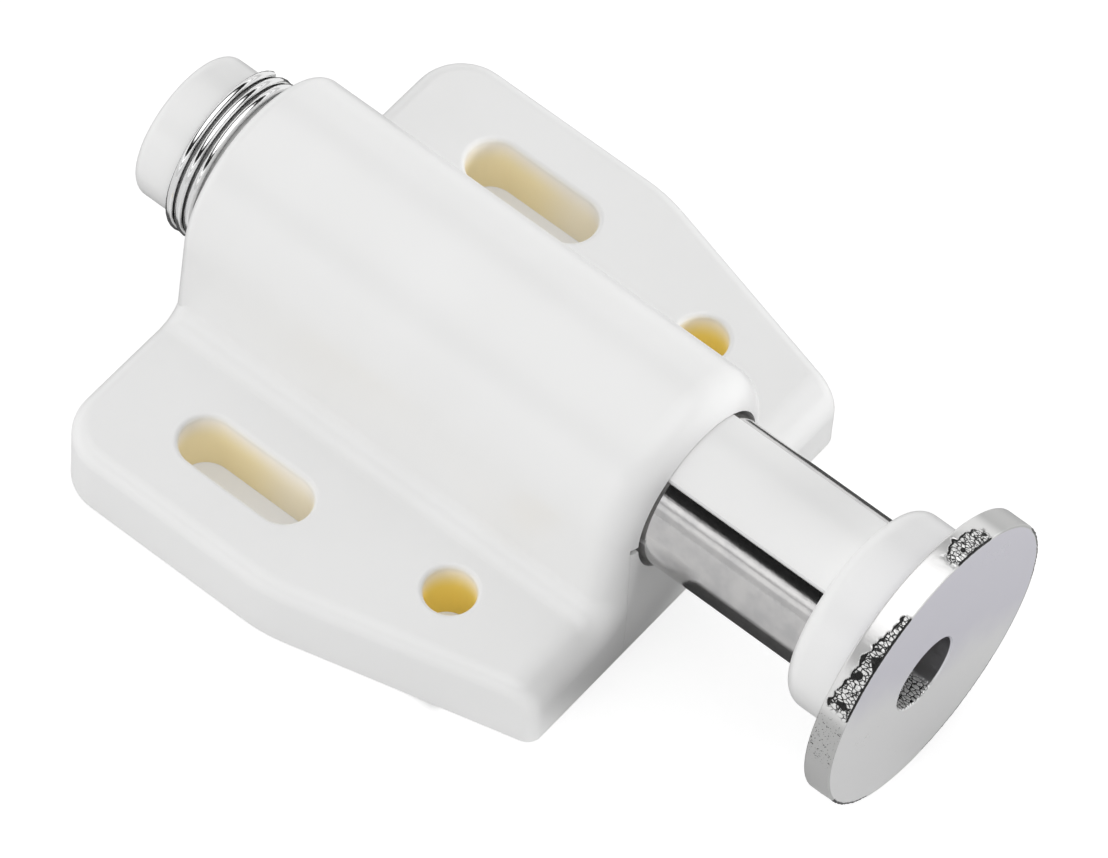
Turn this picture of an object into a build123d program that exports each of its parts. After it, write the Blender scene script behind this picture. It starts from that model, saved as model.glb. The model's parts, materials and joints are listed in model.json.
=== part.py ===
from build123d import *

import math
import os

# Frame: origin midway between the two round screw holes, on the mounting face.
# +X points to the strike plate, +Z up from the mounting face. Millimetres.

# Screw holes
hole_spacing = 25.4
hole_radius = 1.75
slot_spacing = 28.6
slot_radius = 1.9
slot_travel = 6.4
slot_setback = 15.55

# Housing outside
wing_thickness = 5.45
wing_half_width = 20.35
front_half_width = 15.45
front_reach = 9.3
rear_reach = 27.0
taper_setback = 8.9
rear_corner_radius = 3.7
taper_corner_radius = 12.0
barrel_wall = 1.3
flank_draft = 4.2
crease_radius = 1.6
edge_radius = 1.1
front_edge_radius = 2.4
opening_edge_radius = 0.35
barrel_edge_radius = 0.8
axis_height = 11.95

# Housing inside
spring_room = 0.4
guide_length = 14.2
rear_lip_length = 1.2

# Plunger core and pole plates
core_half_width = 3.2
core_half_height = 4.8
shaft_radius = 5.5
plate_thickness = 1.0
plate_socket_depth = 1.0
exposed_shaft = 12.5
flange_length = 2.5
tail_radius = 5.3
tail_reach = 6.1
tail_edge_radius = 0.7
stroke = 12.0

# Collar, magnet and strike plate
collar_radius = 7.3
collar_length = 4.7
collar_edge_radius = 1.2
snap_height = 0.25
snap_length = 1.0
magnet_length = 6.0
magnet_width = 7.4
magnet_height = 5.0
magnet_recess = 0.2
strike_radius = 10.55
strike_thickness = 1.95
strike_side_shift = -0.35
strike_drop = 0.15
strike_hole_radius = 2.7
strike_hole_offset = -0.95
strike_hole_rise = 0.19
strike_edge_radius = 0.15

# Spring
wire_radius = 0.3
coil_gap = 0.49
outside_turns = 2.5
crossing_turns = 0.5
active_turns = 5.5
closed_turns = 1.0
start_angle = -90.0

# Track pin and heart-shaped track
pin_radius = 0.45
arm_length = 14.0
arm_bend_radius = 1.0
pin_setback = 2.4
pivot_leg_length = 2.6
track_depth = 1.3
track_rise = 2.0
catch_travel = 10.0
release_drop = 1.3
return_drop = 1.6
return_travel = 7.0
merge_travel = 2.5
merge_rise = 0.2

# Bottom cover
cover_thickness = 1.6
cradle_length = 4.0
cradle_drop = 0.5
rear_wall_length = 1.5
rear_wall_drop = 5.0
boss_radius = 1.9
rest_pad_length = 2.0
rest_pad_half_width = 4.0
catch_length = 4.0
catch_height = 0.9
catch_proud = 0.3
catch_places = (-20.0, -2.0)

# Clearances
guide_clearance = 0.075
flange_clearance = 0.08
coil_clearance = 0.1
lip_clearance = 0.15
cover_clearance = 0.03
seat_clearance = 0.05
pivot_clearance = 0.04
arm_clearance = 0.78
track_clearance = 0.15
pin_top_clearance = 0.25
strike_gap = 0.05

# Worked out from the sizes above
front_x = front_reach
rear_x = -rear_reach
coil_radius = tail_radius + coil_clearance + wire_radius
bore_radius = coil_radius + wire_radius + spring_room
barrel_radius = bore_radius + barrel_wall
crown_radius = math.hypot(core_half_width, core_half_height)
guide_radius = crown_radius + guide_clearance
flange_radius = bore_radius - flange_clearance
arm_height = axis_height - flange_radius - arm_clearance - pin_radius
flange_front_x = front_x - guide_length
flange_rear_x = flange_front_x - flange_length
collar_rear_x = front_x + exposed_shaft
collar_front_x = collar_rear_x + collar_length
strike_rear_x = collar_front_x + strike_gap
plate_front_x = collar_front_x
plate_inner_radius = shaft_radius - plate_thickness
tail_end_x = rear_x - tail_reach
pin_x = flange_front_x + pin_setback
channel_half_width = bore_radius
rest_swing = -math.asin(track_rise / 2 / arm_length)
pivot_x = pin_x - arm_length * math.cos(rest_swing)
pivot_y = track_rise / 2
draft = math.radians(flank_draft)
foot_half_width = (barrel_radius + (axis_height - wing_thickness) * math.sin(draft)) / math.cos(draft)
hair = 0.01


def along_x(x0, x1, sketch):
    """A solid from x0 to x1 whose section is drawn in Y and Z about the plunger's axis."""
    section_plane = Plane((x0, 0, axis_height), x_dir=(0, 1, 0), z_dir=(1, 0, 0))
    return extrude(section_plane * sketch, x1 - x0)


def block(x0, x1, y0, y1, z0, z1):
    return Pos((x0 + x1) / 2, (y0 + y1) / 2, (z0 + z1) / 2) * Box(x1 - x0, y1 - y0, z1 - z0)


def upright(radius, x, y, z0, z1):
    return Pos(x, y, (z0 + z1) / 2) * Cylinder(radius, z1 - z0)


def strip_section(gap):
    """Strip between the pole plates, flat below and rounded to the guide above, grown by gap."""
    width, depth = 2 * (core_half_width + gap), core_half_height + gap
    crown = Circle(crown_radius + gap) & Pos(0, crown_radius) * Rectangle(width, 2 * crown_radius)
    return crown + Pos(0, -depth / 2) * Rectangle(width, depth)


def core_section(gap):
    """Round core with the strip that shows between the pole plates, grown by gap."""
    return Circle(plate_inner_radius - seat_clearance + gap) + strip_section(gap)


def shaft_section(gap):
    """The whole shaft, pole plates and strip, grown by gap."""
    return Circle(shaft_radius + gap) + strip_section(gap)


def wing_outline():
    """Plan of the wings: straight rear part, then sides that taper in to the front face."""
    half = [
        (rear_x, wing_half_width),
        (-taper_setback, wing_half_width),
        (front_x, front_half_width),
    ]
    corners = half + [(x, -y) for x, y in reversed(half)]
    outline = make_face(Polyline(*corners, close=True))
    radii = [
        (rear_x, rear_corner_radius),
        (-taper_setback, taper_corner_radius),
    ]
    for x, radius in radii:
        found = [v for v in outline.vertices() if abs(v.X - x) < hair]
        outline = fillet(found, radius)
    return outline


def barrel_section():
    """Arch: a half circle whose sides go on, spreading by the draft, down to the mounting face."""
    top_y, top_z = barrel_radius * math.cos(draft), barrel_radius * math.sin(draft)
    low_y = (barrel_radius + axis_height * math.sin(draft)) / math.cos(draft)
    right = [(top_y, top_z), (low_y, -axis_height)]
    left = [(-y, z) for y, z in reversed(right)]
    return Circle(barrel_radius) + make_face(Polyline(*right, *left, close=True))


def housing_outside():
    """Wings and barrel in one, with a wide rounding in front that the sides' rounding then crosses."""
    wings = extrude(wing_outline(), wing_thickness)
    body = wings + along_x(rear_x, front_x, barrel_section())
    lengthwise = body.edges().filter_by(Axis.X)
    creases = lengthwise.filter_by(lambda e: abs(e.center().Z - wing_thickness) < hair)
    body = fillet(creases.filter_by(lambda e: abs(e.center().Y) < foot_half_width + hair), crease_radius)
    front = body.edges().filter_by_position(Axis.X, front_x - hair, front_x + hair)
    body = fillet(front.filter_by(lambda e: e.center().Z > wing_thickness - hair), front_edge_radius)
    lengthwise = body.edges().filter_by(Axis.X)
    inner = lengthwise.filter_by(lambda e: abs(e.center().Y) < foot_half_width + crease_radius + hair)
    upper = body.edges().filter_by(lambda e: e.bounding_box().min.Z > wing_thickness - hair)
    behind = upper.filter_by(lambda e: e.bounding_box().min.X < front_x - front_edge_radius - hair)
    body = fillet(behind - inner, edge_radius)
    end = along_x(rear_x, rear_x + edge_radius, barrel_section())
    rim = end.edges().filter_by_position(Axis.X, rear_x - hair, rear_x + hair)
    end = fillet(rim.filter_by(lambda e: e.center().Z > hair), barrel_edge_radius)
    return body + end


def screw_openings():
    """Two round holes in front and two slots behind them, through the wings."""
    cut = Part()
    for side in (-1, 1):
        cut += upright(hole_radius, 0, side * hole_spacing / 2, 0, wing_thickness)
        slot = SlotCenterToCenter(slot_travel, 2 * slot_radius)
        cut += extrude(Pos(-slot_setback, side * slot_spacing / 2) * slot, wing_thickness)
    return cut


def opening_rims(body):
    """Upper edges of the screw holes and slots."""
    patterns = [
        (0, hole_spacing / 2, hole_radius, 0),
        (-slot_setback, slot_spacing / 2, slot_radius, slot_travel / 2),
    ]
    level = body.edges().filter_by_position(Axis.Z, wing_thickness - hair, wing_thickness + hair)
    rims = []
    for x, y, radius, half_travel in patterns:
        for edge in level:
            along = abs(edge.center().X - x) - half_travel
            across = abs(edge.center().Y) - y
            if max(along, abs(across)) < radius + hair:
                rims.append(edge)
    return rims


def cover_catches(gap):
    """Short ribs on both sides of the cover that click into the housing, grown by gap."""
    ribs = Part()
    reach = channel_half_width - cover_clearance + catch_proud + gap
    for x in catch_places:
        x0, x1 = x - catch_length / 2 - gap, x + catch_length / 2 + gap
        z0, z1 = (cover_thickness - catch_height) / 2 - gap, (cover_thickness + catch_height) / 2 + gap
        ribs += block(x0, x1, -reach, reach, z0, z1)
    return ribs


def housing():
    """Barrel over two wings, open underneath, with the guide for the shaft at its front."""
    lip_x = rear_x + rear_lip_length
    body = housing_outside()
    body -= along_x(rear_x, lip_x, Circle(tail_radius + lip_clearance))
    body -= along_x(lip_x, flange_front_x, Circle(bore_radius))
    body -= along_x(flange_front_x, front_x, Circle(guide_radius))
    body -= block(rear_x, front_x, -channel_half_width, channel_half_width, 0, axis_height)
    body -= screw_openings()
    body = fillet(opening_rims(body), opening_edge_radius)
    body -= cover_catches(seat_clearance)
    return body


def bottom_cover():
    """Plate that closes the channel, with a cradle under the shaft and a boss for the track pin.

    Its front follows the housing's rounding.
    """
    half_width = channel_half_width - cover_clearance
    cover = block(rear_x, front_x, -half_width, half_width, 0, cover_thickness)
    cradle = block(front_x - cradle_length, front_x, -half_width, half_width, 0, axis_height - cradle_drop)
    cover += cradle - along_x(front_x - cradle_length, front_x, Circle(guide_radius))
    wall_top = axis_height - rear_wall_drop
    wall_end = rear_x + rear_wall_length
    rear_wall = block(rear_x, wall_end, -half_width, half_width, 0, wall_top)
    cover += rear_wall - along_x(rear_x, wall_end, Circle(bore_radius))
    cover += cover_catches(0)
    cover += upright(boss_radius, pivot_x, pivot_y, 0, arm_height - arm_bend_radius - seat_clearance)
    pad_x = (pivot_x + 2 * pin_x) / 3
    pad_top = arm_height - pin_radius - seat_clearance
    pad = Box(rest_pad_length, 2 * rest_pad_half_width, pad_top)
    cover += Pos(pad_x, 0, pad_top / 2) * pad
    leg_end = arm_height - pivot_leg_length - seat_clearance
    cover -= upright(pin_radius + pivot_clearance, pivot_x, pivot_y, leg_end, arm_height)
    return cover & housing_outside()


def track_branch(points):
    """Groove along straight runs, given in the plunger's plan, wide enough for the track pin."""
    width = 2 * (pin_radius + track_clearance)
    floor = axis_height - core_half_height + track_depth
    groove = Part()
    for (x0, y0), (x1, y1) in zip(points, points[1:]):
        run = math.hypot(x1 - x0, y1 - y0)
        turn = math.degrees(math.atan2(y1 - y0, x1 - x0))
        plan = Pos((x0 + x1) / 2, (y0 + y1) / 2) * Rot(0, 0, turn) * SlotCenterToCenter(run, width)
        groove += extrude(plan, floor)
    return groove


def heart_track():
    """The way in, the seat that holds the plunger pushed in, and the way back out."""
    entry = (pin_x, 0)
    full = (pin_x + stroke, track_rise)
    seat = (pin_x + catch_travel, 0)
    release = (pin_x + stroke - pin_radius, -release_drop)
    side = (pin_x + return_travel, -return_drop)
    merge = (pin_x + merge_travel, merge_rise)
    return track_branch([entry, full, seat, release, side, merge])


def magnet_box(gap):
    x1 = collar_front_x - magnet_recess
    section = Rectangle(magnet_width + 2 * gap, magnet_height + 2 * gap)
    return along_x(x1 - magnet_length - gap, x1, section)


def snap_noses(gap):
    """Bumps above and below the core's strip that hold the collar, grown by gap."""
    middle = (collar_rear_x + collar_front_x) / 2
    top, bottom = crown_radius + snap_height + gap, core_half_height + snap_height + gap
    nose = Pos(0, (top - bottom) / 2) * Rectangle(core_half_width + 2 * gap, top + bottom)
    return along_x(middle - snap_length / 2 - gap, middle + snap_length / 2 + gap, nose)


def plate_section(gap):
    """Both curved pole plates, cut off along the sides of the strip, grown by gap."""
    ring = Circle(shaft_radius + gap) - Circle(plate_inner_radius - gap)
    return ring - Rectangle(2 * (core_half_width + seat_clearance - gap), 4 * shaft_radius)


def plunger_core():
    """Tail, flange and strip in one moulding, with the heart-shaped track underneath."""
    tail = along_x(tail_end_x, flange_rear_x, Circle(tail_radius))
    tail = fillet(tail.edges().sort_by(Axis.X)[0], tail_edge_radius)
    flange = along_x(flange_rear_x, flange_front_x, Circle(flange_radius))
    socket = along_x(flange_front_x - plate_socket_depth, flange_front_x, plate_section(seat_clearance))
    front = along_x(flange_front_x, collar_front_x - magnet_recess, core_section(0))
    core = tail + flange + front + snap_noses(0)
    core -= socket
    core -= magnet_box(seat_clearance)
    return core - heart_track()


def pole_plates():
    """Right and left steel shells, from the flange's socket to the strike plate."""
    both = along_x(flange_front_x - plate_socket_depth + seat_clearance, plate_front_x, plate_section(0))
    return both.solids().sort_by(Axis.Y)


def front_collar():
    collar = along_x(collar_rear_x, collar_front_x - seat_clearance, Circle(collar_radius))
    collar = fillet(collar.edges().filter_by(GeomType.CIRCLE), collar_edge_radius)
    collar -= along_x(collar_rear_x, collar_front_x, shaft_section(seat_clearance))
    return collar - snap_noses(seat_clearance)


def strike_plate():
    """Round disc with one screw hole, stuck to the magnet a little out of centre."""
    middle = Pos(strike_side_shift, -strike_drop)
    plate = along_x(strike_rear_x, strike_rear_x + strike_thickness, middle * Circle(strike_radius))
    plate = fillet(plate.edges().filter_by(GeomType.CIRCLE), strike_edge_radius)
    hole = middle * Pos(strike_hole_offset, strike_hole_rise) * Circle(strike_hole_radius)
    return plate - along_x(strike_rear_x, strike_rear_x + strike_thickness, hole)


def track_pin():
    """Bent wire: a leg down into the cover's boss, an arm, and a tip up into the track."""
    leg_end = arm_height - pivot_leg_length
    tip_top = axis_height - core_half_height + track_depth - pin_top_clearance
    corners = [(0, leg_end), (0, arm_height), (arm_length, arm_height), (arm_length, tip_top)]
    along, across = math.cos(rest_swing), math.sin(rest_swing)
    swing_plane = Plane((pivot_x, pivot_y, 0), x_dir=(along, across, 0), z_dir=(across, -along, 0))
    path = swing_plane * FilletPolyline(*corners, radius=arm_bend_radius)
    start = Plane(path @ 0, z_dir=path % 0)
    return sweep(start * Circle(pin_radius), path=path)


def spring_knots():
    """Angle and place along X of the wire at every quarter turn, from the free rear end."""
    crossing_x = rear_x - lip_clearance - wire_radius
    inside_x = rear_x + rear_lip_length + lip_clearance + wire_radius
    seat_x = flange_rear_x - seat_clearance - wire_radius
    close_pitch = 2 * wire_radius + coil_gap
    stages = [
        (outside_turns, crossing_x - outside_turns * close_pitch, crossing_x),
        (crossing_turns, crossing_x, inside_x),
        (active_turns, inside_x, seat_x - closed_turns * close_pitch),
        (closed_turns, seat_x - closed_turns * close_pitch, seat_x),
    ]
    knots = [(start_angle, stages[0][1])]
    for turns, x0, x1 in stages:
        quarters = round(4 * turns)
        for i in range(1, quarters + 1):
            knots.append((knots[-1][0] + 90, x0 + (x1 - x0) * i / quarters))
    return knots


def wire_point(angle, x):
    """Point of the wire's centre line; the angle runs from the top towards -Y."""
    a = math.radians(angle)
    return Vector(x, -coil_radius * math.sin(a), axis_height + coil_radius * math.cos(a))


def wire_direction(angle, climb):
    """Unit tangent of the wire where it climbs by climb along X in a quarter turn."""
    a = math.radians(angle)
    return Vector(climb * 2 / math.pi, -coil_radius * math.cos(a), -coil_radius * math.sin(a)).normalized()


def biarc(p0, t0, p1, t1):
    """Two arcs from p0 to p1, tangent to t0 and t1 there and to each other where they join."""
    v, t = p1 - p0, t0 + t1
    fall = 2 * (1 - t0.dot(t1))
    reach = (math.sqrt(v.dot(t) ** 2 + fall * v.dot(v)) - v.dot(t)) / fall
    near, far = p0 + t0 * reach, p1 - t1 * reach
    join = (near + far) * 0.5
    return [TangentArc(p0, join, tangent=t0), TangentArc(join, p1, tangent=far - near)]


def spring_path():
    knots = spring_knots()
    points = [wire_point(*knot) for knot in knots]
    xs = [x for _, x in knots]
    climbs = [xs[1] - xs[0]] + [(c - a) / 2 for a, c in zip(xs, xs[2:])] + [xs[-1] - xs[-2]]
    directions = [wire_direction(angle, climb) for (angle, _), climb in zip(knots, climbs)]
    straight = 2 * wire_radius
    edges = [Line(points[0] - directions[0] * straight, points[0])]
    for i in range(len(points) - 1):
        edges += biarc(points[i], directions[i], points[i + 1], directions[i + 1])
    edges.append(Line(points[-1], points[-1] + directions[-1] * straight))
    return Wire(edges)


def least_gap(path):
    """Least distance between the wire's surface and its own next turns, on points."""
    step = wire_radius / 2
    count = int(path.length / step)
    points = [path @ (i / count) for i in range(count + 1)]
    apart = int(math.pi * coil_radius / step)
    return min(
        (q - p).length - 2 * wire_radius
        for i, p in enumerate(points)
        for q in points[i + apart : i + 3 * apart]
    )


def main_spring():
    path = spring_path()
    print("spring wire length", round(path.length, 1), "least gap to itself", round(least_gap(path), 3))
    start = Plane(path @ 0, z_dir=path % 0)
    return sweep(start * Circle(wire_radius), path=path)


right_plate, left_plate = pole_plates()
nodes = {
    "housing": housing(),
    "bottom_cover": bottom_cover(),
    "plunger_core": plunger_core(),
    "right_pole_plate": right_plate,
    "left_pole_plate": left_plate,
    "magnet": magnet_box(0),
    "front_collar": front_collar(),
    "strike_plate": strike_plate(),
    "main_spring": main_spring(),
    "track_pin": track_pin(),
}
os.makedirs("parts", exist_ok=True)
for name, solid in nodes.items():
    solid.label = name
    export_step(solid, f"parts/{name}.step")
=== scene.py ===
import json
import math

import bmesh
import bpy
from mathutils import Matrix, Vector, noise


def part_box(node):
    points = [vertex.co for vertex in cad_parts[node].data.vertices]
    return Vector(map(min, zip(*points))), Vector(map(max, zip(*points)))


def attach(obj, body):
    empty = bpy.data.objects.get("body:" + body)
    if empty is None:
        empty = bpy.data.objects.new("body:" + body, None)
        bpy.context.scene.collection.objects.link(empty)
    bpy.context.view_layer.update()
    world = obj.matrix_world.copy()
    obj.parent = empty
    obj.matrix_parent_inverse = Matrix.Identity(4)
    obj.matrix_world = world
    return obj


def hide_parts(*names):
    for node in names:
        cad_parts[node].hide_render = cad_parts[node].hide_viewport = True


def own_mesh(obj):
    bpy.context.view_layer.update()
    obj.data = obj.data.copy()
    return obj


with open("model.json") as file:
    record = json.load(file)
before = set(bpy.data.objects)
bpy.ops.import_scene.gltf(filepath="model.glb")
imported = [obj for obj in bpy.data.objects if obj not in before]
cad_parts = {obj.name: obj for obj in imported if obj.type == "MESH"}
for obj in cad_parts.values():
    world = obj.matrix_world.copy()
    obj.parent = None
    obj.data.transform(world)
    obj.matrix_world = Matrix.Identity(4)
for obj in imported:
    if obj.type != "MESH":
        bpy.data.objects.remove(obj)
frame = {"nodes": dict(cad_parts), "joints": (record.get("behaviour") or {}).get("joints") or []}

noise.seed_set(1)  # the vector noise has a new seed in each run otherwise

# Touch latch: white moulded housing and plunger, nickel pole plates, wire spring and a steel strike plate.
# Sizes in the dictionaries are millimetres, except those of the lamps. Directions round the plunger's axis
# are degrees from the top towards the near side. The frame is metres, with its origin between the two screw
# holes.

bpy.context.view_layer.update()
nodes = frame["nodes"]
mm = 0.001
weld = 1e-7    # vertices closer than this many metres are joined
slack = 1e-6   # metres from an end face within which a vertex belongs to the face
black = (0.0, 0.0, 0.0, 1.0)


# Shader maths

# Sockets of the Mix node that blend colours; their names repeat, so they go by number
colourMix = {"factor": 0, "first": 6, "second": 7, "result": 2}


class Socket:
    # wraps one output of a node; arithmetic on it adds Math nodes
    def __init__(self, tree, output=None):
        self.tree = tree
        self.output = output

    def node(self, kind, values=None, output=0, stops=None, **settings):
        made = self.tree.nodes.new(kind)
        for key, value in settings.items():
            setattr(made, key, value)
        if stops:
            ramp = made.color_ramp
            while len(ramp.elements) < len(stops):
                ramp.elements.new(0.5)
            for element, (place, level) in zip(ramp.elements, stops):
                element.position = place
                element.color = grey(level)
        for key, value in (values or {}).items():
            if isinstance(value, Socket):
                self.tree.links.new(value.output, made.inputs[key])
            else:
                made.inputs[key].default_value = value
        return Socket(self.tree, made.outputs[output] if made.outputs else None)

    def maths(self, operation, first, second=0.0):
        return self.node("ShaderNodeMath", {0: first, 1: second}, operation=operation)

    def __add__(self, other):
        return self.maths("ADD", self, other)

    def __radd__(self, other):
        return self.maths("ADD", other, self)

    def __sub__(self, other):
        return self.maths("SUBTRACT", self, other)

    def __rsub__(self, other):
        return self.maths("SUBTRACT", other, self)

    def __mul__(self, other):
        return self.maths("MULTIPLY", self, other)

    def __rmul__(self, other):
        return self.maths("MULTIPLY", other, self)

    def __abs__(self):
        return self.maths("ABSOLUTE", self)

    def root(self):
        return self.maths("SQRT", self)

    def above(self, other):
        return self.maths("MAXIMUM", self, other)

    def swing(self, reach):
        # a noise of 0 to 1 as a change of half of reach to either side
        return reach * (self - 0.5)

    def rise(self, low, high):
        # 0 below low, 1 above high, smooth between
        values = {"Value": self, "From Min": low, "From Max": high}
        return self.node("ShaderNodeMapRange", values, interpolation_type="SMOOTHSTEP")

    def within(self, start, whole, fading, end):
        # 1 from whole to fading, 0 before start and after end
        return self.rise(start, whole) * (1.0 - self.rise(fading, end))


def grey(level):
    return (level, level, level, 1.0)


def newFinish(name):
    material = bpy.data.materials.new(name)
    material.use_nodes = True
    material.node_tree.nodes.clear()
    return material, Socket(material.node_tree)


def placeOf(start):
    # the point on the piece in millimetres, whole and as its three parts
    spot = start.node("ShaderNodeTexCoord", output="Object")
    spot = start.node("ShaderNodeVectorMath", {0: spot, "Scale": 1 / mm}, operation="SCALE")
    return spot, [start.node("ShaderNodeSeparateXYZ", {"Vector": spot}, output=part) for part in "XYZ"]


def grain(spot, size, detail=2.0, stretch=(1.0, 1.0, 1.0), roughness=0.5):
    # noise from 0 to 1 whose features are about size millimetres across
    scale = tuple(s / size for s in stretch)
    spot = spot.node("ShaderNodeVectorMath", {0: spot, 1: scale}, operation="MULTIPLY")
    values = {"Vector": spot, "Scale": 1.0, "Detail": detail, "Roughness": roughness}
    return spot.node("ShaderNodeTexNoise", values)


def blend(factor, first, second):
    values = {colourMix["factor"]: factor, colourMix["first"]: first, colourMix["second"]: second}
    return factor.node("ShaderNodeMix", values, output=colourMix["result"], data_type="RGBA")


def raised(height, depth, normal=None):
    # turns a height into a normal; depth is in millimetres
    values = {"Height": height, "Distance": depth * mm, "Strength": 1.0}
    if normal:
        values["Normal"] = normal
    return height.node("ShaderNodeBump", values)


def close(start, material, values):
    shader = start.node("ShaderNodeBsdfPrincipled", values)
    start.node("ShaderNodeOutputMaterial", {"Surface": shader})
    return material


# Plastic

plastic = {
    "white": (0.885, 0.885, 0.882, 1.0),
    "shaded": (0.868, 0.868, 0.864, 1.0),
    # colour of the screw openings' walls where their painted glow tint is faint
    "inner": (0.90, 0.88, 0.85, 1.0),
    "clouds": 9.0,                    # size of the patches between white and shaded
    "cloudRange": (0.3, 0.7),
    "flow": 2.2,                      # size of the moulding's flow marks, drawn out along X
    "flowStretch": (0.35, 1.0, 1.0),
    "pores": 0.18,
    "roughness": 0.34,
    "flowRoughness": 0.10,
    "poreRoughness": 0.06,
    "flowHeight": 0.6,
    "poreHeight": 0.4,
    "relief": 0.006,
    "refraction": 1.49,
    "coat": 0.15,
    "coatRoughness": 0.2,
    "wingTop": 5.45,
    "through": 0.10,                  # painted glow: emission on the walls of the screw openings, standing in for light that comes through the plastic
    "wallEdge": (0.02, 0.12),         # how far outside an opening its wall's painted glow colour fades
    "wallDepth": (0.05, 0.8),         # how far below the wing's top that colour sets in
    "tintDepth": (0.1, 2.6),          # and the painted glow tint
    "tintFade": (-1.5, 2.5),          # where the painted glow tint drops along X to its share at the front
}
# Screw openings in the wings: places, sizes, the painted glow tint of their walls, which stands in for light
# coming through the plastic, and the share of it left at the front
openings = {
    "holes": {
        "x": 0.0,
        "y": 12.7,
        "half": 0.0,
        "radius": 1.75,
        "tint": (0.97, 0.80, 0.24, 1.0),
        "front": 1.0,
    },
    "slots": {
        "x": -15.55,
        "y": 14.3,
        "half": 3.2,
        "radius": 1.9,
        "tint": (0.97, 0.87, 0.60, 1.0),
        "front": 0.45,
    },
}


def openingWall(x, y, opening):
    # 1 on the wall of a screw opening, 0 a little outside it
    along = (abs(x - opening["x"]) - opening["half"]).above(0.0)
    across = abs(y) - opening["y"]
    distance = (along * along + across * across).root() - opening["radius"]
    return 1.0 - distance.rise(*plastic["wallEdge"])


def makePlastic(name, hasOpenings=False, seed=0.0):
    material, start = newFinish(name)
    spot, (x, y, z) = placeOf(start)
    shifted = start.node("ShaderNodeVectorMath", {0: spot, 1: (seed, seed, seed)}, operation="ADD")
    clouds = grain(shifted, plastic["clouds"])
    flow = grain(shifted, plastic["flow"], stretch=plastic["flowStretch"])
    pores = grain(shifted, plastic["pores"], detail=3.0)
    shade = blend(clouds.rise(*plastic["cloudRange"]), plastic["white"], plastic["shaded"])
    glow = black
    # painted glow: the walls of the screw openings turn amber and give off a faint light, more so deeper
    # down and towards the rear, standing in for light that comes through the plastic
    if hasOpenings:
        depth = plastic["wingTop"] - z
        for opening in openings.values():
            fade = 1.0 - (1.0 - opening["front"]) * (x - opening["x"]).rise(*plastic["tintFade"])
            tint = blend(fade * depth.rise(*plastic["tintDepth"]), plastic["inner"], opening["tint"])
            wall = openingWall(x, y, opening) * depth.rise(*plastic["wallDepth"])
            shade = blend(wall, shade, tint)
            glow = blend(wall, glow, tint)
    rough = plastic["roughness"] + flow.swing(plastic["flowRoughness"])
    rough = rough + pores.swing(plastic["poreRoughness"])
    height = plastic["flowHeight"] * flow + plastic["poreHeight"] * pores
    return close(start, material, {
        "Base Color": shade,
        "Roughness": rough,
        "Normal": raised(height, plastic["relief"]),
        "IOR": plastic["refraction"],
        "Coat Weight": plastic["coat"],
        "Coat Roughness": plastic["coatRoughness"],
        "Emission Color": glow,
        "Emission Strength": plastic["through"],
    })


# Metals

nickel = {
    "bright": (0.72, 0.71, 0.705, 1.0),
    "dull": (0.60, 0.595, 0.60, 1.0),
    "wire": (0.95, 0.95, 0.95, 1.0),
    # painted shade of the spring's wire in the gaps between its turns
    "gap": (0.01, 0.01, 0.01, 1.0),
    "gaps": (5.62, 5.86),             # distances from the plunger's axis between which the spring's painted shade turns to bright wire
    "spots": 1.6,
    "spotRange": (0.35, 0.75),
    "lines": 0.25,
    "drawn": (0.04, 1.0, 1.0),        # how the lines are drawn out along X
    "even": (1.0, 1.0, 1.0),
    "peel": 0.35,
    "roughness": 0.085,
    "spotRoughness": 0.05,
    "lineRoughness": 0.04,
    "lineRelief": 0.0026,
    "peelRelief": 0.0034,
}
strikeSteel = {
    "lavender": (0.78, 0.77, 0.84, 1.0),
    "grey": (0.92, 0.92, 0.92, 1.0),
    "satin": (0.62, 0.62, 0.615, 1.0),
    "polished": (0.90, 0.895, 0.89, 1.0),
    "broken": (0.93, 0.93, 0.925, 1.0),
    # dark of pits, cracks and specks in torn metal, and painted shade on the hole's wall
    "pit": (0.02, 0.02, 0.02, 1.0),
    "rim": (0.25, 0.14),              # how far inside the outline the rim's satin starts and is full
    "clouds": 5.0,
    "fine": 0.12,
    "cracks": 0.16,
    "wanderScale": 3.0,
    "wander": (0.16, 0.16, 0.16),     # how far the dark lines in torn metal stray
    "cells": (2.6, 4.2, 4.2),         # cells to a millimetre between those lines
    "lineWidth": (0.04, 0.15),
    "specks": 0.11,
    "speckRange": (0.62, 0.68),
    "folds": 0.8,
    "foldStretch": (1.0, 2.2, 1.0),
    "tintSlope": 0.6,                 # painted reflection: the face turns lavender towards the upper far side
    "tintClouds": 6.0,
    "tintRange": (-3.0, 3.0),
    "pitRange": (0.30, 0.62),
    "faceRoughness": 0.30,
    "cloudRoughness": 0.08,
    "fineRoughness": 0.06,
    "satinRoughness": 0.42,
    "polishedRoughness": 0.30,
    "brokenRoughness": 0.28,
    "fineHeight": 0.03,
    "crackHeight": 0.5,
    "pitDepth": 0.6,
    "lineDepth": 0.5,
    "speckDepth": 0.3,
    "foldHeight": 0.12,
    "relief": 0.07,
    "tornDullness": 0.5,              # how much less metallic torn metal is
    "polishShare": 0.5,               # and polished metal, as a share of that
}
ferrite = {
    "dark": (0.035, 0.034, 0.036, 1.0),
    "light": (0.11, 0.105, 0.10, 1.0),
    "grit": 0.22,
    "gritRange": (0.4, 0.75),
    "metallic": 0.35,
    "roughness": 0.55,
    "gritRoughness": 0.2,
    "relief": 0.03,
}


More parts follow.
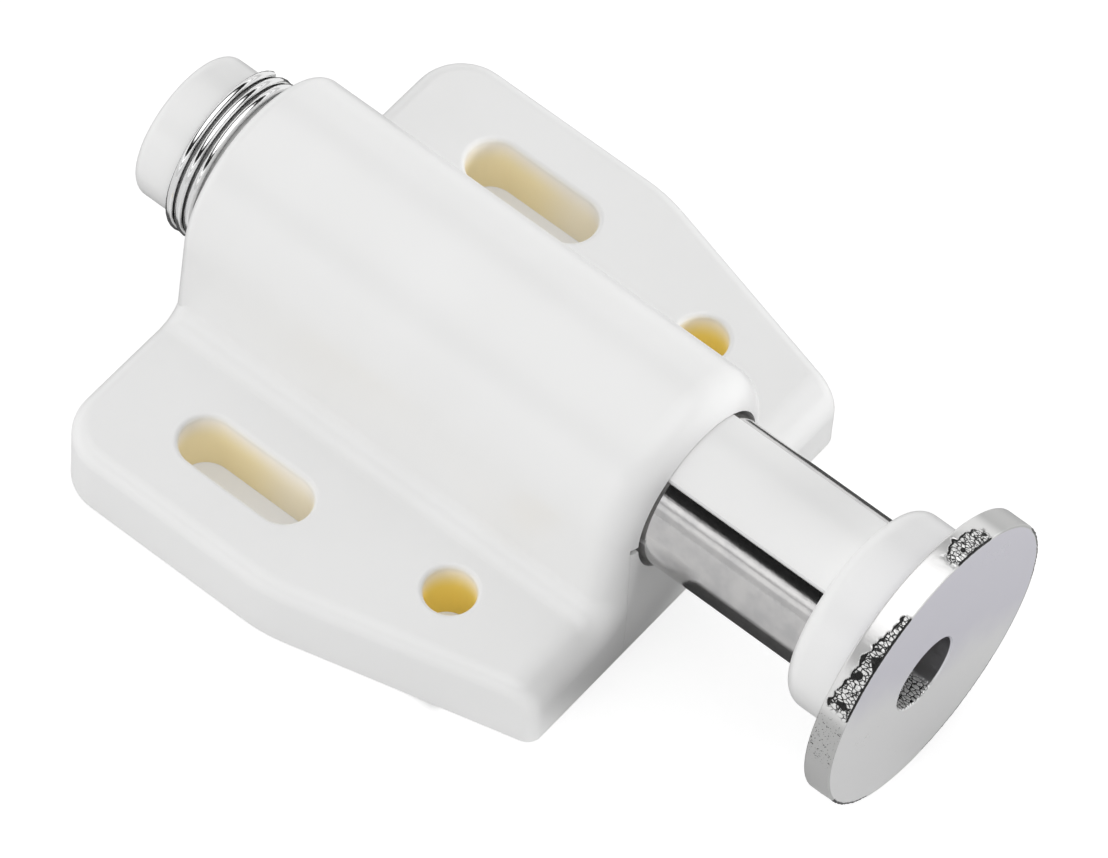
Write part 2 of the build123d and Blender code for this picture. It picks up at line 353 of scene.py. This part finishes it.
def makeNickel(name, isSpring=False):
    # plated steel: faint lines along X and a little orange peel; a spring gets painted shade on the inner
    # side of its wire, in the gaps between its turns
    material, start = newFinish(name)
    spot, (_, y, z) = placeOf(start)
    lines = grain(spot, nickel["lines"], detail=3.0, stretch=nickel["even" if isSpring else "drawn"])
    peel = grain(spot, nickel["peel"])
    spots = grain(spot, nickel["spots"], detail=3.0)
    shade = blend(spots.rise(*nickel["spotRange"]), nickel["bright"], nickel["dull"])
    # painted shade: a spring's wire is near black on the side towards the axis, between its turns, and
    # bright outside
    if isSpring:
        low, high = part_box("main_spring")
        z = z - (high.z + low.z) / (2 * mm)
        shade = blend((y * y + z * z).root().rise(*nickel["gaps"]), nickel["gap"], nickel["wire"])
    rough = nickel["roughness"] + nickel["spotRoughness"] * spots + lines.swing(nickel["lineRoughness"])
    return close(start, material, {
        "Base Color": shade,
        "Metallic": 1.0,
        "Roughness": rough,
        "Normal": raised(peel, nickel["peelRelief"], raised(lines, nickel["lineRelief"])),
    })


def tornLines(spot):
    # 1 on the dark lines between the cells of torn metal
    values = {"Vector": spot, "Scale": strikeSteel["wanderScale"], "Detail": 2.0}
    wander = spot.node("ShaderNodeTexNoise", values, output="Color")
    values = {0: wander, 1: strikeSteel["wander"], 2: spot}
    wander = spot.node("ShaderNodeVectorMath", values, operation="MULTIPLY_ADD")
    wander = spot.node("ShaderNodeVectorMath", {0: wander, 1: strikeSteel["cells"]}, operation="MULTIPLY")
    cell = spot.node("ShaderNodeTexVoronoi", {"Vector": wander, "Scale": 1.0}, feature="DISTANCE_TO_EDGE")
    return 1.0 - cell.rise(*strikeSteel["lineWidth"])


def makeStrikeSteel(name):
    # satin face and rim, with a painted reflection in lavender on the face; the piece's own attributes say
    # where the rim is polished, torn, pitted or porous, and where the hole's wall has painted shade
    steel = strikeSteel
    material, start = newFinish(name)
    low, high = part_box("strike_plate")
    spot, (_, y, z) = placeOf(start)
    side, up = y - (high.y + low.y) / (2 * mm), z - (high.z + low.z) / (2 * mm)
    outline = (high.z - low.z) / (2 * mm)
    rim = (side * side + up * up).root().rise(*(outline - inset for inset in steel["rim"]))
    torn, pit, polish, pores = (
        start.node("ShaderNodeAttribute", output="Fac", attribute_name=mark)
        for mark in ("torn", "pit", "polish", "pores")
    )
    clouds = grain(spot, steel["clouds"], detail=3.0)
    fine = grain(spot, steel["fine"], detail=3.0)
    cracks = grain(spot, steel["cracks"])
    line = torn * tornLines(spot)
    speck = pores * grain(spot, steel["specks"]).rise(*steel["speckRange"])
    folds = grain(spot, steel["folds"], detail=3.0, stretch=steel["foldStretch"])
    # painted reflection: the face's colour goes from grey to lavender towards the upper far side
    tinted = (up + steel["tintSlope"] * side + clouds.swing(steel["tintClouds"])).rise(*steel["tintRange"])
    shade = blend(rim, blend(tinted, steel["grey"], steel["lavender"]), steel["satin"])
    shade = blend(polish, shade, steel["polished"])
    shade = blend(torn, shade, steel["broken"])
    shade = blend(pit.rise(*steel["pitRange"]).above(line).above(speck), shade, steel["pit"])
    rough = steel["faceRoughness"] + clouds.swing(steel["cloudRoughness"])
    rough = rough + fine.swing(steel["fineRoughness"])
    rough = rough + rim * (steel["satinRoughness"] - steel["faceRoughness"])
    rough = rough + polish * (steel["polishedRoughness"] - rough)
    rough = rough + torn * (steel["brokenRoughness"] - rough)
    relief = steel["fineHeight"] * fine + steel["crackHeight"] * torn * cracks - steel["pitDepth"] * pit
    relief = relief - steel["lineDepth"] * line - steel["speckDepth"] * speck
    relief = relief + steel["foldHeight"] * polish * folds
    return close(start, material, {
        "Base Color": shade,
        "Metallic": 1.0 - steel["tornDullness"] * torn.above(steel["polishShare"] * polish),
        "Roughness": rough,
        "Normal": raised(relief, steel["relief"]),
    })


def makeFerrite(name):
    material, start = newFinish(name)
    spot, _ = placeOf(start)
    grit = grain(spot, ferrite["grit"], detail=4.0, roughness=0.7)
    shade = blend(grit.rise(*ferrite["gritRange"]), ferrite["dark"], ferrite["light"])
    return close(start, material, {
        "Base Color": shade,
        "Metallic": ferrite["metallic"],
        "Roughness": ferrite["roughness"] + grit.swing(ferrite["gritRoughness"]),
        "Normal": raised(grit, ferrite["relief"]),
    })


print("materials")
finishes = {
    "housing": makePlastic("housingWhite", hasOpenings=True),
    "bottom_cover": makePlastic("coverWhite", seed=17.0),
    "plunger_core": makePlastic("plungerWhite", seed=31.0),
    "front_collar": makePlastic("collarWhite", seed=53.0),
    "right_pole_plate": makeNickel("poleNickel"),
    "magnet": makeFerrite("ferrite"),
    "strike_plate": makeStrikeSteel("strikeSteel"),
    "main_spring": makeNickel("springNickel", isSpring=True),
    "track_pin": makeNickel("pinNickel"),
}
finishes["left_pole_plate"] = finishes["right_pole_plate"]
for name, finish in finishes.items():
    for slot in nodes[name].material_slots:
        slot.material = finish


# Mesh helpers

def circleAt(bm, centre, radius, segments, normal):
    turn = Vector((0, 0, 1)).rotation_difference(Vector(normal)).to_matrix().to_4x4()
    matrix = Matrix.Translation(Vector(centre)) @ turn
    made = bmesh.ops.create_circle(bm, cap_ends=False, radius=radius, segments=segments, matrix=matrix)
    return list({e for v in made["verts"] for e in v.link_edges})


def newObject(name, data):
    made = bpy.data.objects.new(name, data)
    bpy.context.scene.collection.objects.link(made)
    return made


def finishPiece(bm, name, body, finish, sharp):
    # edges sharper than sharp degrees stay crisp
    bmesh.ops.remove_doubles(bm, verts=bm.verts, dist=weld)
    bmesh.ops.recalc_face_normals(bm, faces=bm.faces)
    for face in bm.faces:
        face.smooth = True
    for edge in bm.edges:
        edge.smooth = edge.calc_face_angle(0.0) < math.radians(sharp)
    mesh = bpy.data.meshes.new(name)
    bm.to_mesh(mesh)
    bm.free()
    mesh.materials.append(finish)
    piece = newObject(name, mesh)
    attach(piece, body)
    return piece


# Spring: close turns behind the housing, a quarter turn under its lip, then open turns inside

spring = {
    "wire": 0.3,            # wire radius
    "outsideTurns": 2.62,
    "outsidePitch": 0.77,
    "crossingTurns": 0.26,
    "openTurns": 5.5,
    "endTurns": 1.0,
    "endPitch": 0.62,
    "lip": 1.2,             # length of the housing's rear lip
    "outsideGap": 0.45,     # between the wire and the lip, behind it and in front of it
    "insideGap": 0.15,
    "crossingAngle": 170.0, # where the wire leaves the outside turns
    "steps": 48,            # rings in a turn
    "sides": 16,
    "sharp": 32.0,
}


def coil(bm, ring, stages, axisHeight):
    # each stage is (turns, advance along the axis); right-handed
    geometry = ring
    for turns, advance in stages:
        steps = round(turns * spring["steps"])
        made = bmesh.ops.spin(
            bm,
            geom=geometry,
            cent=(0, 0, axisHeight),
            axis=(1, 0, 0),
            angle=math.radians(360 * turns),
            dvec=(advance / steps, 0, 0),
            steps=steps,
        )
        geometry = made["geom_last"]
    loops = [e for e in bm.edges if e.is_boundary]
    bmesh.ops.holes_fill(bm, edges=loops, sides=0)


def wireRing(bm, x, angle, coilRadius, axisHeight):
    turn = math.radians(angle)
    centre = (x, -coilRadius * math.sin(turn), axisHeight + coilRadius * math.cos(turn))
    normal = (0, -math.cos(turn), -math.sin(turn))
    edges = circleAt(bm, centre, spring["wire"] * mm, spring["sides"], normal)
    return edges + list({v for e in edges for v in e.verts})


def makeSpring():
    low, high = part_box("main_spring")
    coilRadius = (high.z - low.z) / 2 - spring["wire"] * mm
    axisHeight = (high.z + low.z) / 2
    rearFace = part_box("housing")[0].x
    crossing = rearFace - (spring["outsideGap"] + spring["wire"]) * mm
    inside = rearFace + (spring["lip"] + spring["insideGap"] + spring["wire"]) * mm
    seat = high.x - spring["wire"] * mm
    outsideLength = spring["outsideTurns"] * spring["outsidePitch"] * mm
    startAngle = spring["crossingAngle"] - 360 * spring["outsideTurns"]
    sharp = spring["sharp"]

    bm = bmesh.new()
    ring = wireRing(bm, crossing - outsideLength, startAngle, coilRadius, axisHeight)
    stages = [(spring["outsideTurns"], outsideLength), (spring["crossingTurns"], inside - crossing)]
    coil(bm, ring, stages, axisHeight)
    outside = finishPiece(bm, "spring_outer_turns", "housing", finishes["main_spring"], sharp)
    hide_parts("main_spring")

    bm = bmesh.new()
    insideAngle = spring["crossingAngle"] + 360 * spring["crossingTurns"]
    ring = wireRing(bm, inside, insideAngle, coilRadius, axisHeight)
    endLength = spring["endTurns"] * spring["endPitch"] * mm
    stages = [(spring["openTurns"], seat - endLength - inside), (spring["endTurns"], endLength)]
    coil(bm, ring, stages, axisHeight)
    inner = finishPiece(bm, "spring_inner_turns", "housing", finishes["main_spring"], sharp)
    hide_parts("main_spring")
    slide = next(j for j in frame["joints"] if j["name"] == "plunger_slide")
    stroke = slide["range_m"][1] - slide["range_m"][0]
    length = high.x - inside
    1 - stroke / length
    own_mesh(inner)


makeSpring()
print("spring")


# Strike plate: blanked disc whose rim has torn patches, polished arcs and porous arcs

strike = {
    "holeSide": -0.95,
    "holeRise": 0.19,
    "holeRadius": 2.7,
    "holeEdge": 0.12,
    "edge": 0.14,             # rounding of the rear edge
    "edgeSteps": 4,
    "edgeRing": 1.5,          # the ring of vertices inside each edge: how many edge sizes inside the outline
    "frontEdge": 0.05,
    "frontEdgeRing": 6,
    "rimRows": 22,
    "wallRows": 14,
    "segments": 1000,
    "sharp": 30.0,
    "rimReach": 1.5,          # the rim's vertices lie at most this many front edges inside the outline
    "tornDepth": 0.08,
    "tornGrain": 0.36,        # size of a cell of torn metal
    "cellStray": (1.5, 0.35), # how finely and how far the cells' points stray
    "crack": (0.03, 0.30),    # where a cell of torn metal starts to rise and where it is full height
    "cellHeight": 0.75,
    "cellWaver": (2.1, 0.25), # how finely and how much the cells' heights vary
    "waver": (0.8, 0.14),     # how finely and how far the edge of a torn patch wanders
    "endWaver": 14,           # degrees that its ends wander, to the same measure
    "patchFade": (0.0, 0.06),
    "endFade": (0.5, 3.5),
    "outline": (0.05, 0.14),  # width of the dark outline, as a share of the rim's
    "outlineFront": (0.03, 0.09),
    "polishFade": 7.0,
    "poreFade": 9.0,
    "wallFade": 12.0,
    "pits": (0.15, 0.45),     # noise above which torn metal is pitted
    "pitGrain": 0.55,
    "pitAmount": 0.8,
    "wallPit": 0.45,          # painted shade: how dark the hole's wall is where it isn't torn
}
# Torn patches of the rim: from and to, and how much of the rim's width they take at start, middle and end
tornPatches = [
    (-27, -3, (0.55, 0.78, 0.62)), (18, 64, (0.25, 0.60, 0.92)), (112, 150, (0.40, 0.75, 0.50)),
    (178, 226, (0.35, 0.80, 0.60)), (256, 300, (0.60, 0.85, 0.40)),
]
wallPatch = (118, 205)                              # the torn part of the hole's wall
polishedArcs = [(-34, 68), (140, 215), (262, 296)]  # where the punch left the rim bright
poreArcs = [(62, 90), (226, 244)]


def rimProfile(x0, x1, radius):
    # (x, radius) from the rear face round the rim to the front face
    edge, frontEdge = strike["edge"] * mm, strike["frontEdge"] * mm
    profile = [(x0, radius - strike["edgeRing"] * edge), (x0, radius - edge)]
    for step in range(1, strike["edgeSteps"] + 1):
        turn = math.radians(90 * step / strike["edgeSteps"])
        profile.append((x0 + edge * (1 - math.cos(turn)), radius - edge * (1 - math.sin(turn))))
    rows = strike["rimRows"]
    start, end = x0 + edge, x1 - frontEdge
    profile += [(start + (end - start) * row / rows, radius) for row in range(1, rows + 1)]
    return profile + [(x1, radius - frontEdge), (x1, radius - strike["frontEdgeRing"] * frontEdge)]


def smooth(value, low, high):
    share = min(1.0, max(0.0, (value - low) / (high - low)))
    return share * share * (3 - 2 * share)


def within(angle, start, end, fade):
    # 1 between two directions, fading over fade degrees at both ends
    along = (angle - start) % 360
    return smooth(min(along, end - start - along), 0.0, fade)


def tornAmount(angle, fromFront, point):
    # how far a point is in a torn patch and how far on its outline, each 0 to 1; fromFront is 0 at the front
    # face and 1 at the rear face
    fineness, reach = strike["waver"]
    waver = reach * noise.noise(point * fineness)
    for start, end, widths in tornPatches:
        along = ((angle - start) % 360) / (end - start)
        if along <= 1:
            first, second = (widths[0], widths[1]) if along < 0.5 else (widths[1], widths[2])
            inside = first + (second - first) * (2 * along % 1) + waver - fromFront
            ends = min(along, 1 - along) * (end - start) + strike["endWaver"] * waver
            amount = smooth(inside, *strike["patchFade"]) * smooth(ends, *strike["endFade"])
            core = smooth(inside, *strike["outline"]) * smooth(fromFront, *strike["outlineFront"])
            return amount, amount * (1 - core)
    return 0.0, 0.0


def tornHeight(point):
    # how deep a point in torn metal lies, from 0 on top of a cell to 1 in a crack
    fineness, reach = strike["cellStray"]
    near, nextNear = noise.voronoi(point + noise.noise_vector(point * fineness) * reach)[0][:2]
    fineness, reach = strike["cellWaver"]
    height = strike["cellHeight"] + reach * noise.noise(point * fineness)
    return 1 - smooth(nextNear - near, *strike["crack"]) * height


def tear(bm, x0, x1, radius, centre):
    # roughens patches of the rim, and notes for the material what the rim and the hole's wall are like
    # where; the hole's wall gets painted shade where it isn't torn
    torn, pit, polish, pores = (
        bm.verts.layers.float.new(mark) for mark in ("torn", "pit", "polish", "pores")
    )
    for vert in bm.verts:
        out = Vector((0, vert.co.y - centre[0], vert.co.z - centre[1]))
        isRim = out.length > radius - strike["rimReach"] * strike["frontEdge"] * mm
        isWall = out.length < radius / 2 and x0 + slack < vert.co.x < x1 - slack
        point = vert.co / (strike["tornGrain"] * mm)
        if isRim:
            angle = math.degrees(math.atan2(-out.y, out.z))
            vert[polish] = max(within(angle, *arc, strike["polishFade"]) for arc in polishedArcs)
            vert[pores] = max(within(angle, *arc, strike["poreFade"]) for arc in poreArcs)
            amount, outline = tornAmount(angle, (x1 - vert.co.x) / (x1 - x0), point)
            pitted = smooth(noise.noise(point * strike["pitGrain"]), *strike["pits"])
            vert[pit] = max(outline, strike["pitAmount"] * amount * pitted)
            vert[torn] = amount
            if amount > 0:
                vert.co -= out.normalized() * strike["tornDepth"] * mm * amount * tornHeight(point)
        elif isWall:
            side = out - Vector((0, strike["holeSide"], strike["holeRise"])) * mm
            angle = math.degrees(math.atan2(-side.y, side.z)) % 360
            amount = within(angle, *wallPatch, strike["wallFade"])
            # painted shade on the hole's wall where it isn't torn
            vert[pit] = strike["wallPit"] * (1 - amount)
            vert[torn] = amount


def makeStrikePlate():
    low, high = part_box("strike_plate")
    radius = (high.z - low.z) / 2
    centre = ((high.y + low.y) / 2, (high.z + low.z) / 2)
    x0, x1 = low.x, high.x
    holeEdge, holeRadius = strike["holeEdge"] * mm, strike["holeRadius"] * mm
    rows = strike["wallRows"]
    wall = [x1 - holeEdge + (x0 - x1 + 2 * holeEdge) * row / rows for row in range(rows + 1)]
    bore = [(x1, holeRadius + holeEdge)] + [(x, holeRadius) for x in wall] + [(x0, holeRadius + holeEdge)]
    section = rimProfile(x0, x1, radius) + bore

    bm = bmesh.new()
    verts = [bm.verts.new((x, centre[0], centre[1] + height)) for x, height in section]
    edges = [bm.edges.new(pair) for pair in zip(verts, verts[1:] + verts[:1])]
    bmesh.ops.spin(
        bm,
        geom=verts + edges,
        cent=(0, *centre),
        axis=(1, 0, 0),
        angle=2 * math.pi,
        steps=strike["segments"],
        use_merge=True,
    )
    middle = Vector((0, *centre))
    inner = [v for v in bm.verts if (v.co * Vector((0, 1, 1)) - middle).length < radius / 2]
    bmesh.ops.translate(bm, verts=inner, vec=(0, strike["holeSide"] * mm, strike["holeRise"] * mm))
    tear(bm, x0, x1, radius, centre)
    finish, slot = finishes["strike_plate"], "strike_plate_steel"
    piece = finishPiece(bm, "strike_disc", "strike_plate", finish, strike["sharp"])
    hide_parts("strike_plate")


makeStrikePlate()
print("strike plate")


# Studio: camera, floor, lamps and surroundings

camera = {
    "place": (180.49, -262.31, 498.87),
    "azimuth": 34.837,
    "elevation": 56.973,
    "roll": 5.419,
    "lens": 299.5,
    "sensor": 36.0,
    "near": 10.0,
    "far": 50000.0,
}
floor = {
    "size": 4000.0,
    "drop": 0.05,
    "glow": 0.70,              # what the camera sees: this much light of its own
    "shadow": 0.44,            # and this much of the light that falls on it
    "shade": 0.74,             # what the object sees
    "far": 0.95,               # painted pool of light: the floor that the object sees is brighter on the far side
    "farY": (18.0, 24.0),
    "foot": 0.34,              # painted shadow on the floor that the object sees close to the housing's front face
    "footX": (13.0, 20.0),
    "footY": (-14.0, -8.0, 6.0, 10.0),
    "inside": 0.34,            # painted shadow under the housing: the floor's own light as seen through the screw openings
    "insideX": (-25.0, -24.0, 2.5, 3.5),
    "insideY": (17.0, 18.0),
    "under": 0.10,             # painted shadow that shiny pieces see on the floor close to the object
    "underX": (20.0, 26.0),
    "underY": (-15.0, -11.0, 30.0, 34.0),
}
# Lamps: places and sizes in metres, power in watts
lamps = {
    "key": {"place": (0.20, -0.10, 0.90), "size": 0.60, "power": 0.6},
    "leftSide": {"place": (-0.15, -0.85, 0.40), "size": 0.50, "power": 1.2},
    "frontRight": {"place": (0.93, 0.30, 0.16), "size": 0.30, "power": 4.7},
}
lampTarget = (0.0, 0.0, 0.01)
# What shiny pieces see above the floor: sine of the height above the horizon, brightness
surroundings = [
    (0.00, 0.60), (0.14, 0.60), (0.17, 0.95), (0.26, 0.90), (0.275, 0.50), (0.31, 0.50), (0.345, 1.10),
    (0.42, 1.10), (0.49, 0.01), (0.72, 0.01), (0.80, 1.40), (1.00, 1.40),
]
# What everything else sees: it is darker towards +X, down to the front share
daylight = {
    "zenith": 0.81,
    "horizon": 1.08,
    "front": 0.25,
    "frontRange": (0.1, 0.9),
}


def makeCamera():
    azimuth, elevation, roll = (math.radians(camera[k]) for k in ("azimuth", "elevation", "roll"))
    level = math.cos(elevation)
    right = Vector((math.cos(azimuth), math.sin(azimuth), 0))
    back = Vector((math.sin(azimuth) * level, -math.cos(azimuth) * level, math.sin(elevation)))
    up = back.cross(right)
    across = right * math.cos(roll) + up * math.sin(roll)
    upright = up * math.cos(roll) - right * math.sin(roll)
    data = bpy.data.cameras.new("camera")
    data.lens = camera["lens"]
    data.sensor_width = camera["sensor"]
    data.sensor_fit = "HORIZONTAL"
    data.clip_start = camera["near"] * mm
    data.clip_end = camera["far"] * mm
    taker = newObject("camera", data)
    turn = Matrix((across, upright, back)).transposed().to_4x4()
    taker.matrix_world = Matrix.Translation(Vector(camera["place"]) * mm) @ turn
    bpy.context.scene.camera = taker


def makeFloor():
    bm = bmesh.new()
    bmesh.ops.create_grid(bm, x_segments=1, y_segments=1, size=floor["size"] * mm / 2)
    bmesh.ops.translate(bm, verts=bm.verts, vec=(0, 0, -floor["drop"] * mm))
    mesh = bpy.data.meshes.new("floor")
    bm.to_mesh(mesh)
    bm.free()
    material, start = newFinish("floorPale")
    _, (x, y, _) = placeOf(start)
    # painted shadow: under the housing the floor gives off less light of its own
    inside = x.within(*floor["insideX"]) * (1.0 - abs(y).rise(*floor["insideY"]))
    glow = blend(inside, grey(floor["glow"]), grey(floor["inside"]))
    shown = start.node("ShaderNodeAddShader", {
        0: start.node("ShaderNodeEmission", {"Color": glow, "Strength": 1.0}),
        1: start.node("ShaderNodeBsdfDiffuse", {"Color": grey(floor["shadow"])}),
    })
    # painted shadows near the object and a painted pool of light on the far side, which only other pieces
    # see
    under = (1.0 - x.rise(*floor["underX"])) * y.within(*floor["underY"])
    under = under * start.node("ShaderNodeLightPath", output="Is Glossy Ray")
    foot = (1.0 - x.rise(*floor["footX"])) * y.within(*floor["footY"])
    shade = blend(y.rise(*floor["farY"]), grey(floor["shade"]), grey(floor["far"]))
    shade = blend(foot, shade, grey(floor["foot"]))
    shade = blend(under, shade, grey(floor["under"]))
    lit = start.node("ShaderNodeBsdfDiffuse", {"Color": shade})
    seen = start.node("ShaderNodeLightPath", output="Is Camera Ray")
    mixed = start.node("ShaderNodeMixShader", {0: seen, 1: lit, 2: shown})
    start.node("ShaderNodeOutputMaterial", {"Surface": mixed})
    mesh.materials.append(material)
    plane = newObject("floor", mesh)


def makeLamps():
    for name, lamp in lamps.items():
        data = bpy.data.lights.new(name, "AREA")
        data.shape = "DISK"
        data.size = lamp["size"]
        data.energy = lamp["power"]
        light = newObject(name, data)
        light.visible_glossy = False
        place = Vector(lamp["place"])
        aim = (Vector(lampTarget) - place).to_track_quat("-Z", "Y").to_matrix().to_4x4()
        light.matrix_world = Matrix.Translation(place) @ aim


def makeWorld():
    world = bpy.data.worlds.new("studio")
    bpy.context.scene.world = world
    world.use_nodes = True
    world.node_tree.nodes.clear()
    start = Socket(world.node_tree)
    direction = start.node("ShaderNodeTexCoord")
    frontwards, height = (
        start.node("ShaderNodeSeparateXYZ", {"Vector": direction}, output=part) for part in "XZ"
    )
    shiny = start.node("ShaderNodeValToRGB", {"Fac": height}, stops=surroundings)
    soft = daylight["horizon"] + (daylight["zenith"] - daylight["horizon"]) * height.rise(0.0, 1.0)
    soft = soft * (1.0 - (1.0 - daylight["front"]) * frontwards.rise(*daylight["frontRange"]))
    isCamera = start.node("ShaderNodeLightPath", output="Is Camera Ray")
    isGlossy = start.node("ShaderNodeLightPath", output="Is Glossy Ray")
    level = blend(isGlossy, start.node("ShaderNodeCombineXYZ", {"X": soft, "Y": soft, "Z": soft}), shiny)
    level = blend(isCamera, level, grey(1.0))
    back = start.node("ShaderNodeBackground", {"Color": level, "Strength": 1.0})
    start.node("ShaderNodeOutputWorld", {"Surface": back})


makeCamera()
makeFloor()
makeLamps()
makeWorld()
bpy.context.scene.view_settings.view_transform = "Standard"
print("studio")
